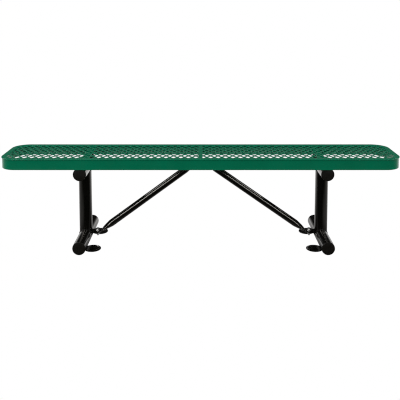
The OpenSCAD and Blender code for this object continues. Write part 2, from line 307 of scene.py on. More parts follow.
def add_node(tree, kind, inputs=None, **settings):
    """A shader node with its settings, and with values or links on its inputs."""
    made = tree.nodes.new(kind)
    for key, value in settings.items():
        setattr(made, key, value)
    for key, value in (inputs or {}).items():
        if isinstance(value, bpy.types.NodeSocket):
            tree.links.new(value, made.inputs[key])
        else:
            made.inputs[key].default_value = value
    return made


def noise(tree, place, scale, detail=2.0, rough=0.5):
    made = add_node(
        tree, "ShaderNodeTexNoise",
        {"Vector": place, "Scale": scale, "Detail": detail, "Roughness": rough},
    )
    return made.outputs["Fac"]


def ranged(tree, value, low, high, start=0.3, end=0.7):
    """Maps the range from start to end onto the one from low to high."""
    made = add_node(
        tree, "ShaderNodeMapRange",
        {"Value": value, "From Min": start, "From Max": end, "To Min": low, "To Max": high},
    )
    return made.outputs["Result"]


def maths(tree, operation, *values):
    inputs = dict(enumerate(values))
    return add_node(tree, "ShaderNodeMath", inputs, operation=operation).outputs[0]


def mixed(tree, factor, first, second):
    made = add_node(tree, "ShaderNodeMix", data_type="RGBA")
    for socket, value in ((0, factor), (6, first), (7, second)):
        if isinstance(value, bpy.types.NodeSocket):
            tree.links.new(value, made.inputs[socket])
        else:
            made.inputs[socket].default_value = value
    return made.outputs[2]


def bumped(tree, height, strength, depth, below=None):
    inputs = {"Height": height, "Strength": strength, "Distance": depth}
    if below is not None:
        inputs["Normal"] = below
    return add_node(tree, "ShaderNodeBump", inputs).outputs["Normal"]


def new_material(name):
    """An empty node material, its place socket and its principled shader."""
    material = bpy.data.materials.new(name)
    material.use_nodes = True
    tree = material.node_tree
    tree.nodes.clear()
    place = add_node(tree, "ShaderNodeTexCoord").outputs["Object"]
    shader = add_node(tree, "ShaderNodeBsdfPrincipled")
    out = add_node(tree, "ShaderNodeOutputMaterial")
    tree.links.new(shader.outputs["BSDF"], out.inputs["Surface"])
    return material, tree, place, shader


def wire(tree, shader, values):
    for key, value in values.items():
        if isinstance(value, bpy.types.NodeSocket):
            tree.links.new(value, shader.inputs[key])
        else:
            shader.inputs[key].default_value = value


def coated_green():
    """Thick dipped thermoplastic: glossy and slightly wavy. Upward faces are lighter green in
    scuffed patches, partly wear and partly painted light from above.
    """
    material, tree, place, shader = new_material("coated_green")
    clouds = noise(tree, place, 9.0, 3.0)
    waves = noise(tree, place, 55.0, 2.0)
    peel = noise(tree, place, 260.0, 2.0)
    base = mixed(
        tree, ranged(tree, clouds, 0.0, 1.0),
        (0.0001, 0.126, 0.061, 1), (0.0003, 0.139, 0.068, 1),
    )
    upward = add_node(tree, "ShaderNodeNewGeometry").outputs["Normal"]
    height = add_node(tree, "ShaderNodeSeparateXYZ", {"Vector": upward}).outputs["Z"]
    # Painted light from above, together with wear: upward faces get a lighter green in scuffed
    # patches.
    top = ranged(tree, height, 0.0, 1.0, 0.6, 1.0)
    scuffs = ranged(tree, noise(tree, place, 120.0, 6.0, 0.7), 0.0, 0.35, 0.55, 0.8)
    wear_and_top_light = maths(tree, "MULTIPLY", top, scuffs)
    colour = mixed(tree, wear_and_top_light, base, (0.002, 0.147, 0.079, 1))
    bump = bumped(tree, waves, 0.18, 0.0010)
    bump = bumped(tree, peel, 0.06, 0.0003, bump)
    wire(tree, shader, {
        "Base Color": colour,
        "Roughness": ranged(tree, noise(tree, place, 30.0, 4.0), 0.18, 0.27),
        "Specular IOR Level": 0.24,
        "Normal": bump,
    })
    return material


def powder_black():
    """Semi-gloss black powder coat with a fine orange peel."""
    material, tree, place, shader = new_material("powder_black")
    clouds = noise(tree, place, 14.0, 3.0)
    peel = noise(tree, place, 420.0, 3.0)
    dust = noise(tree, place, 38.0, 8.0, 0.7)
    base = mixed(
        tree, ranged(tree, clouds, 0.0, 1.0),
        (0.0010, 0.0010, 0.0006, 1), (0.0020, 0.0018, 0.0012, 1),
    )
    colour = mixed(tree, ranged(tree, dust, 0.0, 0.012, 0.5, 0.8), base, (0.10, 0.080, 0.050, 1))
    wire(tree, shader, {
        "Base Color": colour,
        "Roughness": ranged(tree, noise(tree, place, 60.0, 4.0), 0.12, 0.19),
        "Specular IOR Level": 0.5,
        "Specular Tint": (1.0, 0.95, 0.88, 1),
        "Coat Tint": (1.0, 0.97, 0.93, 1),
        "Coat Weight": 0.3,
        "Coat Roughness": 0.06,
        "Normal": bumped(tree, peel, 0.10, 0.0002),
    })
    return material


def weld_black():
    """The same powder coat over the ripples of a weld."""
    material, tree, place, shader = new_material("weld_black")
    grain = noise(tree, place, 700.0, 4.0, 0.6)
    wire(tree, shader, {
        "Base Color": mixed(
            tree, grain, (0.003, 0.0028, 0.0024, 1), (0.006, 0.0055, 0.0045, 1)
        ),
        "Roughness": ranged(tree, grain, 0.44, 0.58),
        "Specular IOR Level": 0.3,
        "Normal": bumped(tree, grain, 0.3, 0.0003),
    })
    return material


def black_plastic():
    """Moulded polyethylene: duller than the powder coat, finely pebbled."""
    material, tree, place, shader = new_material("black_plastic")
    pebbles = add_node(
        tree, "ShaderNodeTexVoronoi", {"Vector": place, "Scale": 900.0}
    ).outputs["Distance"]
    clouds = noise(tree, place, 45.0, 5.0, 0.6)
    wire(tree, shader, {
        "Base Color": mixed(
            tree, clouds, (0.0026, 0.0018, 0.0006, 1), (0.0046, 0.0036, 0.0018, 1)
        ),
        "Roughness": ranged(tree, clouds, 0.36, 0.5),
        "Specular IOR Level": 0.35,
        "Normal": bumped(tree, pebbles, 0.15, 0.0002),
    })
    return material


def zinc_plate():
    """Bright zinc plating with fine turning marks and dull spots."""
    material, tree, place, shader = new_material("zinc_plate")
    spots = noise(tree, place, 300.0, 5.0, 0.6)
    stretched = add_node(
        tree, "ShaderNodeMapping", {"Vector": place, "Scale": (300.0, 300.0, 6000.0)}
    ).outputs["Vector"]
    marks = noise(tree, stretched, 1.0, 2.0)
    wire(tree, shader, {
        "Base Color": mixed(
            tree, ranged(tree, spots, 0.0, 1.0), (0.56, 0.57, 0.58, 1), (0.72, 0.72, 0.69, 1)
        ),
        "Metallic": 1.0,
        "Roughness": ranged(tree, spots, 0.22, 0.40),
        "Normal": bumped(tree, marks, 0.2, 0.0002),
    })
    return material


# ---------- Seat frame ----------


def frame_section():
    """Section of the frame as (distance out from the lip's edge, height)."""
    lip_low = SEAT_TOP - LIP_T
    skirt_out = -LIP_OVER
    skirt_in = skirt_out - SKIRT_T
    edge_r = LIP_T / 2
    bead_r = 2.1
    bead_z = SKIRT_LOW + bead_r
    meet = math.degrees(math.acos(SKIRT_T / 2 / bead_r))
    points = arc(-LIP_W + 1.3, SEAT_TOP - 1.3, 1.3, 180, 90, 4)
    points += [(-LIP_W * 0.72, SEAT_TOP - 0.05), (-LIP_W * 0.4, SEAT_TOP)]
    points += arc(-edge_r, SEAT_TOP - edge_r, edge_r, 90, -90, 12)
    points += arc(skirt_out + 1.0, lip_low - 1.0, 1.0, 90, 180, 4)
    points += [(skirt_out, lip_low - 14), (skirt_out, SKIRT_LOW + 14)]
    points += arc(skirt_out - SKIRT_T / 2, bead_z, bead_r, meet, -180 - meet, 16)
    points += [(skirt_in, lip_low - 14)]
    points += arc(skirt_in - 2.0, lip_low - 2.0, 2.0, 0, 90, 4)
    points += arc(-LIP_W + 1.3, lip_low + 1.3, 1.3, 270, 180, 4)
    return points


def seat_frame(material):
    """The folded frame: its section swept round the seat's outline."""
    section = frame_section()
    rings = []
    for quarter, (sx, sy) in enumerate([(1, 1), (-1, 1), (-1, -1), (1, -1)]):
        cx = sx * (SEAT_L / 2 - CORNER_R)
        cy = sy * (SEAT_W / 2 - CORNER_R)
        for angle in np.radians(np.linspace(90 * quarter, 90 * quarter + 90, 29)):
            c, s = math.cos(angle), math.sin(angle)
            rings.append([
                (cx + (CORNER_R + u) * c, cy + (CORNER_R + u) * s, z) for u, z in section
            ])
    piece = new_object("seat_frame", Shape().loft(rings, loop=True))
    return finish_piece(piece, material, ["seat_rim"], sharp=50)


# ---------- Expanded sheet ----------


def four_fold(quarter):
    """A closed ring from its first quarter, by mirroring."""
    forth, back = quarter[:-1], quarter[:0:-1]
    return np.vstack([
        forth, back * (-1, 1), -forth, back * (1, -1),
    ])


def sheet_cell():
    """Rings of one rhombus of the sheet, from under its strands, round the
    opening's edge and up to the top of its strands."""
    slant = math.atan2(HALF_PITCH_X, HALF_PITCH_Y)
    corner_r = 3.0
    reach = HALF_PITCH_X * math.cos(slant) - STRAND_W / 2 - corner_r
    side, tip = reach / math.cos(slant), reach / math.sin(slant)
    half_t = (MESH_TOP - MESH_LOW) / 2
    edge = 1.7

    def opening(out):
        r = corner_r + out
        first = arc(side, 0, r, 0, math.degrees(slant), 2)
        last = arc(0, tip, r, math.degrees(slant), 90, 3)
        middle = [((first[-1][0] + last[0][0]) / 2, (first[-1][1] + last[0][1]) / 2)]
        return four_fold(np.array(first + middle + last))

    shares = np.array([0, 0.12, 0.28, 0.43, 0.57, 0.72, 0.88, 1.0])
    border = four_fold(np.stack([
        HALF_PITCH_X * (1 - shares), HALF_PITCH_Y * shares
    ], axis=1))
    middle_z = (MESH_TOP + MESH_LOW) / 2
    rings = [lift(border, middle_z - half_t)]
    for angle in (-72, -38, 0, 38, 72):
        out = edge * (1 - math.cos(math.radians(angle)))
        rise = 0.96 * half_t * math.sin(math.radians(angle))
        rings.append(lift(opening(out), middle_z + rise))
    rings.append(lift(border, middle_z + half_t))
    return np.array(rings)


def strands(half_l, half_w):
    """The whole pattern of the sheet, a little larger than the seat needs."""
    cell = sheet_cell()
    rows, size = cell.shape[:2]
    shape = Shape()
    faces = []
    for row in range(rows - 1):
        here, there = row * size, (row + 1) * size
        for i in range(size):
            j = (i + 1) % size
            faces.append((here + i, here + j, there + j, there + i))
    reach_y = math.ceil(half_w / HALF_PITCH_Y) + 1
    reach_x = math.ceil(half_l / HALF_PITCH_X / 2) + 1
    for k in range(-reach_y, reach_y + 1):
        shift = HALF_PITCH_X if k % 2 == 0 else 0.0
        for i in range(-reach_x, reach_x + 1):
            x = 2 * HALF_PITCH_X * i + shift + PHASE_X
            y = HALF_PITCH_Y * k + PHASE_Y
            shape.add((cell + (x, y, 0)).reshape(-1, 3), faces)
    return shape


def trim(bm, point, outward, near=None):
    """Cuts the sheet along a plane, drops what lies outside and fills the cuts."""
    faces = [f for f in bm.faces if near is None or near(f.calc_center_median())]
    verts = list({v for f in faces for v in f.verts})
    edges = list({e for f in faces for e in f.edges})
    made = bmesh.ops.bisect_plane(
        bm, geom=verts + edges + faces, dist=1e-6,
        plane_co=Vector(point) * MM, plane_no=Vector(outward), clear_outer=True,
    )
    open_edges = [
        e for e in made["geom_cut"]
        if isinstance(e, bmesh.types.BMEdge) and e.is_valid and e.is_boundary
    ]
    if open_edges:
        bmesh.ops.holes_fill(bm, edges=open_edges, sides=0)


def expanded_sheet(material):
    """The coated expanded sheet, cut to the frame, with its closed middle band."""
    tuck = 4.0
    half_l = SEAT_L / 2 - LIP_W + tuck
    half_w = SEAT_W / 2 - LIP_W + tuck
    r = CORNER_R - LIP_W + tuck
    band_edge = BAND_W / 2 - 1.2
    whole = new_object("expanded_sheet", strands(half_l, half_w))
    parts = []
    for side in (-1, 1):
        bm = bmesh.new()
        bm.from_mesh(whole.data)
        outer = [f for f in bm.faces if f.calc_center_median()[0] * side < -0.05]
        bmesh.ops.delete(bm, geom=outer, context="FACES")
        bmesh.ops.remove_doubles(bm, verts=bm.verts, dist=1e-6)
        trim(bm, (side * band_edge, 0, 0), (-side, 0, 0))
        trim(bm, (side * half_l, 0, 0), (side, 0, 0))
        for front in (-1, 1):
            trim(bm, (0, front * half_w, 0), (0, front, 0))
            cx, cy = side * (half_l - r), front * (half_w - r)

            def in_corner(p):
                return p[0] * side > (half_l - r) * MM and p[1] * front > (half_w - r) * MM

            for angle in np.radians(np.arange(11.25, 90, 11.25)):
                out = (side * math.cos(angle), front * math.sin(angle), 0)
                point = (cx + r * out[0], cy + r * out[1], 0)
                trim(bm, point, out, in_corner)
        half = bpy.data.meshes.new("half_sheet")
        bm.to_mesh(half)
        bm.free()
        parts.append(half)
    band = Shape()
    section = rounded_box(BAND_W, MESH_TOP - MESH_LOW + BAND_PROUD, 1.4)
    centre_z = (MESH_TOP + MESH_LOW + BAND_PROUD) / 2
    band.loft([
        np.column_stack([section[:, 0], np.full(len(section), y), section[:, 1] + centre_z])
        for y in (-half_w, half_w)
    ])
    band_object = new_object("band", band)
    joined = bmesh.new()
    for mesh in parts + [band_object.data]:
        joined.from_mesh(mesh)
    joined.to_mesh(whole.data)
    joined.free()
    bpy.data.objects.remove(band_object)
    return finish_piece(whole, material, ["seat_mesh"], sharp=60)


# ---------- Bars under the sheet ----------


def along_y(section, half):
    """Two rings of a section that runs along Y."""
    return [
        np.column_stack([section[:, 0], np.full(len(section), y), section[:, 1]])
        for y in (-half, half)
    ]


def middle_bar(material):
    """Rectangular tube under the closed band, drilled for the threaded insert."""
    lo, hi = span("center_seat_bar")
    width, height = hi[0] - lo[0], hi[2] - lo[2]
    outer = rounded_box(width, height, 2.6) + (0, (lo[2] + hi[2]) / 2)
    inner = rounded_box(width - 4, height - 4, 1.2) + (0, (lo[2] + hi[2]) / 2)
    front, back = along_y(outer, hi[1])
    front_in, back_in = along_y(inner, hi[1])
    shape = Shape().loft([front, back, back_in, front_in], loop=True)
    piece = new_object("middle_bar", shape)
    drill = lathe([(INSERT_HOLE_R, -6), (INSERT_HOLE_R, 6)], 48)
    cut(piece, Shape().join(drill, move=(0, 0, lo[2])))
    return finish_piece(piece, material, ["center_seat_bar"], sharp=40)


def seat_angle(side_name, material):
    """Angle across the seat: level flange against the sheet, upright web outboard."""
    side = SIDES[side_name]
    lo, hi = span(f"{side_name}_seat_angle")
    web = hi[0] if side > 0 else -lo[0]
    flange = web - (hi[0] - lo[0])
    t, r = ANGLE_T, 3.2
    points = arc(web - 1.2, hi[2] - 1.2, 1.2, 90, 0, 4)
    points += arc(web - 0.8, lo[2] + 0.8, 0.8, 0, -90, 3)
    points += arc(web - t + 2.0, lo[2] + 2.0, 2.0, 270, 180, 4)
    points += arc(web - t - r, hi[2] - t - r, r, 0, 90, 5)
    points += arc(flange + 2.0, hi[2] - t + 2.0, 2.0, 270, 180, 4)
    points += arc(flange + 0.8, hi[2] - 0.8, 0.8, 180, 90, 3)
    section = np.array(points) * (side, 1)
    piece = new_object(f"{side_name}_cross_angle", Shape().loft(along_y(section, hi[1])))
    bolt_y, bolt_z = seat_bolt_place()
    for front in ENDS.values():
        drill = lathe([(BOLT_HOLE_R, -12), (BOLT_HOLE_R, 12)], 40)
        cut(piece, Shape().join(drill, ALONG_X, (side * web, front * bolt_y, bolt_z)))
    node = f"{side_name}_seat_angle"
    return finish_piece(piece, material, [node], sharp=40)


# ---------- Legs ----------


def leg_tube(name, side, z, half, node, material):
    body = tube(TUBE_R, BORE_R, half)
    shape = Shape().join(body, ALONG_Y, (LEG_AXIS[side], 0, z))
    return finish_piece(new_object(name, shape), material, [node])


def leg_post(side_name, material):
    """Upright tube, coped at both ends over the level tubes."""
    side = SIDES[side_name]
    count = 128
    sink = 0.4
    rings = []
    for r, level in ((TUBE_R, "low"), (TUBE_R, "high"), (BORE_R, "high"), (BORE_R, "low")):
        ring = circle(r, count)
        saddle = np.sqrt(np.maximum((TUBE_R - sink) ** 2 - ring[:, 0] ** 2, 0))
        z = FOOT_Z + saddle if level == "low" else TOP_Z - saddle
        rings.append(lift(ring + (LEG_AXIS[side], 0), z))
    piece = new_object(f"{side_name}_upright", Shape().loft(rings, loop=True))
    node = f"{side_name}_leg_post"
    return finish_piece(piece, material, [node])


def seat_tab(side_name, end_name, material):
    """Upright plate on the top tube, bolted to a seat angle's web."""
    side, front = SIDES[side_name], ENDS[end_name]
    node = f"{side_name}_{end_name}_seat_tab"
    lo, hi = span(node)
    bolt_y, bolt_z = seat_bolt_place()
    low = TOP_Z + TUBE_R - 1.2
    height = hi[2] - low
    outline = rounded_box(height, hi[1] - lo[1], 3.0)
    hole_at = (low + height / 2 - bolt_z, 0)
    body = plate(outline, BOLT_HOLE_R, hole_at, 0, hi[0] - lo[0], 0.5)
    inner = lo[0] if side > 0 else hi[0]
    place = (inner, front * bolt_y, low + height / 2)
    shape = Shape().join(body, HANGING_SIDE[side], place)
    piece = new_object(f"{side_name}_{end_name}_lug", shape)
    return finish_piece(piece, material, [node])


def end_plug(name, side, front, z, half, node, material):
    """Ribbed plastic plug with a low dome over the tube's end."""
    rib_r, root_r = BORE_R - 0.15, BORE_R - 1.1
    profile = [(20, -14), (BORE_R - 1.2, -14), (BORE_R - 0.4, -13)]
    for rib in (-11.5, -8.5, -5.5, -2.5):
        profile += [(rib_r, rib - 0.9), (rib_r, rib + 0.1), (root_r, rib + 0.5)]
    profile += [(root_r, 0.05), (TUBE_R - 0.5, 0.05), (TUBE_R - 0.15, 0.4)]
    profile += arc(TUBE_R - 1.55, 0.75, 1.4, 0, 78, 6)
    profile += [(26, 2.50), (21, 2.78), (15, 3.0), (9, 3.13), (4, 3.19), (1, 3.2)]
    shape = Shape().join(lathe(profile, 80), ALONG_END[front], (LEG_AXIS[side], front * half, z))
    return finish_piece(new_object(name, shape), material, [node])


def foot_disc(side_name, end_name, material):
    """Disc under the foot tube's inboard side, drilled for a ground anchor."""
    node = f"{side_name}_{end_name}_foot_disc"
    side, front = SIDES[side_name], ENDS[end_name]
    lo, hi = span(node)
    r = (hi[1] - lo[1]) / 2
    centre_x = lo[0] + r if side > 0 else hi[0] - r
    hole_at = (inboard(side, ANCHOR_IN), front * DISC_Y)
    outline = circle(r, 96, centre_x, front * DISC_Y)
    body = plate(outline, ANCHOR_R, hole_at, 0, hi[2], 0.7)
    piece = new_object(f"{side_name}_{end_name}_anchor_pad", body)
    return finish_piece(piece, material, [node])


def brace_plate(side_name, material):
    """Level plate on the foot tube's inboard side, under the brace's end."""
    node = f"{side_name}_brace_tab"
    side = SIDES[side_name]
    lo, hi = span(node)
    r = (hi[1] - lo[1]) / 2
    tip = LEG_AXIS[1] - lo[0] if side > 0 else hi[0] - LEG_AXIS[-1]
    start = 24.6
    centre = tip - r
    outline = [(start, y) for y in np.linspace(r, -r, 9)]
    outline += [(x, -r) for x in np.linspace(start, centre, 5)[1:-1]]
    outline += arc(centre, 0, r, -90, 90, 24)
    outline += [(x, r) for x in np.linspace(centre, start, 5)[1:-1]]
    outline = np.array(outline)
    body = plate(outline, BOLT_HOLE_R, (BRACE_BOLT_IN, 0), lo[2], hi[2], 0.5)
    points = np.array(body.points)
    points[:, 0] = inboard(side, points[:, 0])
    piece = new_object(f"{side_name}_brace_lug", Shape().add(points, body.faces))
    return finish_piece(piece, material, [node])


# ---------- Welds ----------


def bead(path, radius, closed):
    """A rippled weld bead along a path."""
    path = np.asarray(path, float)
    count = len(path)
    ahead = np.roll(path, -1, axis=0) - np.roll(path, 1, axis=0)
    if not closed:
        ahead[0], ahead[-1] = path[1] - path[0], path[-1] - path[-2]
    rings = []
    for i in range(count):
        t = ahead[i] / np.linalg.norm(ahead[i])
        u = np.cross(t, (0.31, 0.17, 0.93))
        u = u / np.linalg.norm(u)
        v = np.cross(t, u)
        r = radius * (1 + 0.10 * math.sin(i * 2 * math.pi / 4))
        if not closed and i in (0, count - 1):
            r = radius * 0.4
        rings.append([
            path[i] + r * (math.cos(a) * u + math.sin(a) * v)
            for a in np.arange(10) * math.pi / 5
        ])
    return Shape().loft(rings, loop=closed)


def post_weld(side, z, up):
    """Bead round the joint of the upright and a level tube."""
    count = 232
    angles = np.arange(count) * 2 * math.pi / count
    path = []
    for a in angles:
        c, s = math.cos(a), math.sin(a)
        out = np.array([2 * c, s, up * abs(s)])
        out = out / np.linalg.norm(out) * 0.5
        path.append(out + (LEG_AXIS[side] + TUBE_R * c, TUBE_R * s, z + up * TUBE_R * abs(s)))
    return bead(path, 2.3, True)


def straight_weld(start, end, radius):
    start, end = np.array(start, float), np.array(end, float)
    count = max(6, int(np.linalg.norm(end - start) / 0.8))
    return bead([start + (end - start) * k / count for k in range(count + 1)], radius, False)


def leg_welds(side_name, material):
    """All the beads of one leg."""
    side = SIDES[side_name]
    shape = Shape()
    shape.join(post_weld(side, FOOT_Z, 1))
    shape.join(post_weld(side, TOP_Z, -1))
    for front in ENDS.values():
        x = inboard(side, math.sqrt(TUBE_R**2 - (FOOT_Z - DISC_T) ** 2) + 0.6)
        y = front * DISC_Y
        shape.join(straight_weld(
            (x, y - DISC_WELD_HALF, DISC_T + 0.5), (x, y + DISC_WELD_HALF, DISC_T + 0.5), 2.0
        ))
        tab = span(f"{side_name}_{'front' if front < 0 else 'back'}_seat_tab")
        for face, out in ((tab[0][0], -0.5), (tab[1][0], 0.5)):
            z = TOP_Z + math.sqrt(TUBE_R**2 - (face - LEG_AXIS[side]) ** 2) + 0.5
            ends = [(face + out, corner[1], z) for corner in tab]
            shape.join(straight_weld(*ends, 2.0))
    low, high = span(f"{side_name}_brace_tab")[0][2], span(f"{side_name}_brace_tab")[1][2]
    for z, up in ((low, -1), (high, 1)):
        x = inboard(side, math.sqrt(TUBE_R**2 - (z - FOOT_Z) ** 2) + 0.4)
        z_weld = z + up * 0.5
        shape.join(straight_weld((x, -TAB_WELD_HALF, z_weld), (x, TAB_WELD_HALF, z_weld), 1.9))
    piece = new_object(f"{side_name}_leg_welds", shape)
    return finish_piece(piece, material, sharp=60)


# ---------- Diagonal braces ----------


def brace_ring(centre, ahead, squeeze, half_w, half_t):
    """A section of the brace: squeeze 0 is the round tube, 1 the pressed flat."""
    ends, flats = 9, 15
    pressed, angles = [], []
    bend = math.radians(14)
    straight = half_w - half_t
    for base, sign in ((0.0, 1), (math.pi, -1)):
        for a in np.linspace(-math.pi / 2, math.pi / 2, ends):
            x = sign * straight + half_t * math.cos(a + base)
            pressed.append((x, half_t * math.sin(a + base)))
            angles.append(base + a / (math.pi / 2) * bend)
        for share in np.linspace(0, 1, flats + 1)[1:-1]:
            pressed.append((sign * straight * (1 - 2 * share), sign * half_t))
            angles.append(base + bend + share * (math.pi - 2 * bend))
    whole = BRACE_R * np.stack([np.cos(angles), np.sin(angles)], axis=1)
    section = np.array(pressed) * squeeze + whole * (1 - squeeze)
    t = np.array([ahead[0], 0, ahead[1]], float)
    t = t / np.linalg.norm(t)
    across = np.array([0.0, 1.0, 0.0])
    thick = np.cross(t, across)
    at = np.array([centre[0], 0, centre[1]], float)
    return at + np.outer(section[:, 0], across) + np.outer(section[:, 1], thick)


def diagonal_brace(side_name, material):
    """Tube with both ends pressed flat and bent level. It is drawn as the
    right brace, from the seat down, and mirrored for the left."""
    side = SIDES[side_name]
    half_w, half_t = BRACE_FLAT_W / 2, BRACE_FLAT_T / 2
    upper_z = span(f"{side_name}_diagonal_brace")[1][2] - half_t
    lower_z = span(f"{side_name}_brace_tab")[1][2] + half_t
    upper = np.array([BRACE_BEND_X, upper_z])
    lower = np.array([side * inboard(side, BRACE_BEND_IN), lower_z])
    bolt_x = side * inboard(side, BRACE_BOLT_IN)
    run = lower - upper
    length = np.linalg.norm(run)
    down = run / length
    slope = math.atan2(down[1], down[0])
    past = half_w - BRACE_PAST_HOLE
    bend = 5.0
    rings = []

    def ring(at, ahead, squeeze, width=half_w):
        rings.append(brace_ring(at, ahead, squeeze, width, half_t))

    def level_ring(x, z, width=half_w):
        ring((x, z), (1, 0), 1, max(width, half_t + 0.2))

    def bent_ring(corner, share, offset):
        a = slope * share
        along = np.array([math.cos(a / 2), math.sin(a / 2)])
        ring(corner + offset * bend * along, (math.cos(a), math.sin(a)), 1)

    def pressed_ring(distance, share):
        ring(upper + down * distance, down, 1 - share**1.1)

    for a in np.radians([-84, -72, -60, -48, -36, -24, -12]):
        level_ring(past + half_w * math.sin(a), upper_z, half_w * math.cos(a))
    for x in (past, past + 5, past + 10):
        level_ring(x, upper_z)
    for share in np.linspace(0, 1, 5):
        bent_ring(upper, share, share - 0.5)
    for share in np.linspace(0, 1, 12):
        pressed_ring(bend + (BRACE_PRESS - bend) * share**2, share)
    for distance in np.linspace(BRACE_PRESS + 6, length - BRACE_PRESS - 6, 12):
        ring(upper + down * distance, down, 0)
    for share in np.linspace(1, 0, 12):
        pressed_ring(length - bend - (BRACE_PRESS - bend) * share**2, share)
    for share in np.linspace(1, 0, 5):
        bent_ring(lower, share, 0.5 - share)
    tip_x = bolt_x - past
    for x in np.linspace(lower[0] + 4, tip_x, 3):
        level_ring(x, lower_z)
    for a in np.radians([12, 24, 36, 48, 60, 72, 84]):
        level_ring(tip_x + half_w * math.sin(a), lower_z, half_w * math.cos(a))
    points = np.array(rings)
    points[:, :, 0] *= side
    piece = new_object(f"{side_name}_brace", Shape().loft(points))
    for hole_r, x, z in ((SMALL_HOLE_R, 0, upper_z), (BOLT_HOLE_R, side * bolt_x, lower_z)):
        drill = lathe([(hole_r, -8), (hole_r, 8)], 40)
        cut(piece, Shape().join(drill, move=(x, 0, z)))
    node = f"{side_name}_diagonal_brace"
    return finish_piece(piece, material, [node], sharp=40)


# ---------- Fasteners ----------


def hexagon(apothem, steps=8):
    """Closed outline of a hexagon with points along its sides."""
    corners = circle(apothem / math.cos(math.pi / 6), 6)
    points = []
    for i in range(6):
        a, b = corners[i], corners[(i + 1) % 6]
        points += [a + (b - a) * k / steps for k in range(steps)]
    return np.array(points)


def chamfered(outline, ring_r, z, down):
    """The outline's ring at height z, lower towards its corners."""
    drop = np.maximum(np.linalg.norm(outline, axis=1) - ring_r, 0) * math.tan(math.radians(30))
    return lift(outline, z + down * drop)


def thread(r, low, high, count=28):
    """A threaded shank along z."""
    rings = []
    step = THREAD_PITCH / 5
    angles = np.arange(count) * 2 * math.pi / count
    for z in np.arange(low, high, step):
        turn = (z / THREAD_PITCH - angles / (2 * math.pi)) % 1
        depth = 0.55 * np.abs(2 * turn - 1)
        ease = min(1.0, (z - low) / 1.2 + 0.15)
        radius = (r - depth) * (1 if ease >= 1 else 0.86 + 0.14 * ease)
        outline = np.stack([radius * np.cos(angles), radius * np.sin(angles)], axis=1)
        rings.append(lift(outline, z))
    return Shape().loft(rings)


def hex_bolt(r, grip):
    """A bolt hanging from z = 0 with its head on top."""
    apothem, height = HEAD_K * r, HEAD_H * 2 * r
    outline = hexagon(apothem)
    ring_r = apothem * FACE_RING_K
    order = np.arctan2(outline[:, 1], outline[:, 0])
    face = np.stack([ring_r * np.cos(order), ring_r * np.sin(order)], axis=1)
    shape = Shape().loft([
        lift(face, 0.0), lift(face, 0.35), lift(outline * 0.995, 0.4),
        chamfered(outline, ring_r, height, -1),
        lift(face, height), lift(face * 0.5, height - 0.12),
    ])
    return shape.join(thread(r, -grip, 0.2))


def hex_nut(r):
    """A nut on z = 0."""
    apothem, height = HEAD_K * r, NUT_H * 2 * r
    outline = hexagon(apothem)
    ring_r = apothem * FACE_RING_K
    order = np.arctan2(outline[:, 1], outline[:, 0])
    round_ring = np.stack([np.cos(order), np.sin(order)], axis=1)
    rings = [
        lift(round_ring * (r - 0.3), 0.7), lift(round_ring * (r + 0.4), 0),
        lift(round_ring * ring_r, 0), chamfered(outline, ring_r, 0, 1),
        chamfered(outline, ring_r, height, -1), lift(round_ring * ring_r, height),
        lift(round_ring * (r + 0.4), height), lift(round_ring * (r - 0.3), height - 0.7),
    ]
    return Shape().loft(rings, loop=True)


def washer(r):
    return plate(circle(WASHER_K * r, 64), r + 0.45, (0, 0), 0, WASHER_T, 0.25)


def seat_bolt_place():
    """Distance from the bench's middle, and height, of the seat bolts."""
    lo, hi = span("seat_nuts")
    return hi[1] - HEAD_K * BOLT_R, (lo[2] + hi[2]) / 2


def spin(angle):
    """A turn about a shape's own z."""
    c, s = math.cos(angle), math.sin(angle)
    return np.array([[c, -s, 0], [s, c, 0], [0, 0, 1]])


def seat_hardware(material):
    """Four bolts, eight washers and four nuts that hold the seat to the legs."""
    bolts, washers, nuts = Shape(), Shape(), Shape()
    bolt_y, bolt_z = seat_bolt_place()
    web = {-1: span("left_seat_angle")[0][0], 1: span("right_seat_angle")[1][0]}
    grip = 2 * WASHER_T + SEAT_TAB_T + ANGLE_T
    for number, (side, front) in enumerate([(-1, -1), (-1, 1), (1, -1), (1, 1)]):
        turn = np.array(ALONG_SIDE[side]) @ spin(0.3 + 0.7 * number)
        place = np.array([web[side] + side * (SEAT_TAB_T + WASHER_T), front * bolt_y, bolt_z])
        out = np.array([side, 0, 0])
        nut_h = NUT_H * 2 * BOLT_R
        bolts.join(hex_bolt(BOLT_R, grip + nut_h + 2), turn, place)
        washers.join(washer(BOLT_R), turn, place - out * WASHER_T)
        washers.join(washer(BOLT_R), turn, place - out * grip)
        nuts.join(hex_nut(BOLT_R), turn, place - out * (grip + nut_h))
    for name, shape, node in (
        ("seat_bolt_set", bolts, "seat_bolts"),
        ("seat_washer_set", washers, "seat_washers"),
        ("seat_nut_set", nuts, "seat_nuts"),
    ):
        finish_piece(new_object(name, shape), material, [node], sharp=28)


def brace_foot_hardware(material):
    """Bolt, two washers and a nut at the lower end of each brace."""
    bolts, washers, nuts = Shape(), Shape(), Shape()
    top = span("left_brace_tab")[1][2] + BRACE_FLAT_T + WASHER_T
    grip = BRACE_TAB_T + BRACE_FLAT_T + 2 * WASHER_T
    nut_h = NUT_H * 2 * BOLT_R
    for side in SIDES.values():
        turn = spin(0.2 + 0.35 * side)
        place = np.array([inboard(side, BRACE_BOLT_IN), 0, top])
        up = np.array([0, 0, 1.0])
        bolts.join(hex_bolt(BOLT_R, grip + nut_h + 8), turn, place)
        washers.join(washer(BOLT_R), turn, place - up * WASHER_T)
        washers.join(washer(BOLT_R), turn, place - up * grip)
        nuts.join(hex_nut(BOLT_R), turn, place - up * (grip + nut_h))
    for name, shape, node in (
        ("brace_foot_bolt_set", bolts, "brace_foot_bolts"),
        ("brace_foot_washer_set", washers, "brace_foot_washers"),
        ("brace_foot_nut_set", nuts, "brace_foot_nuts"),
    ):
        finish_piece(new_object(name, shape), material, [node], sharp=28)


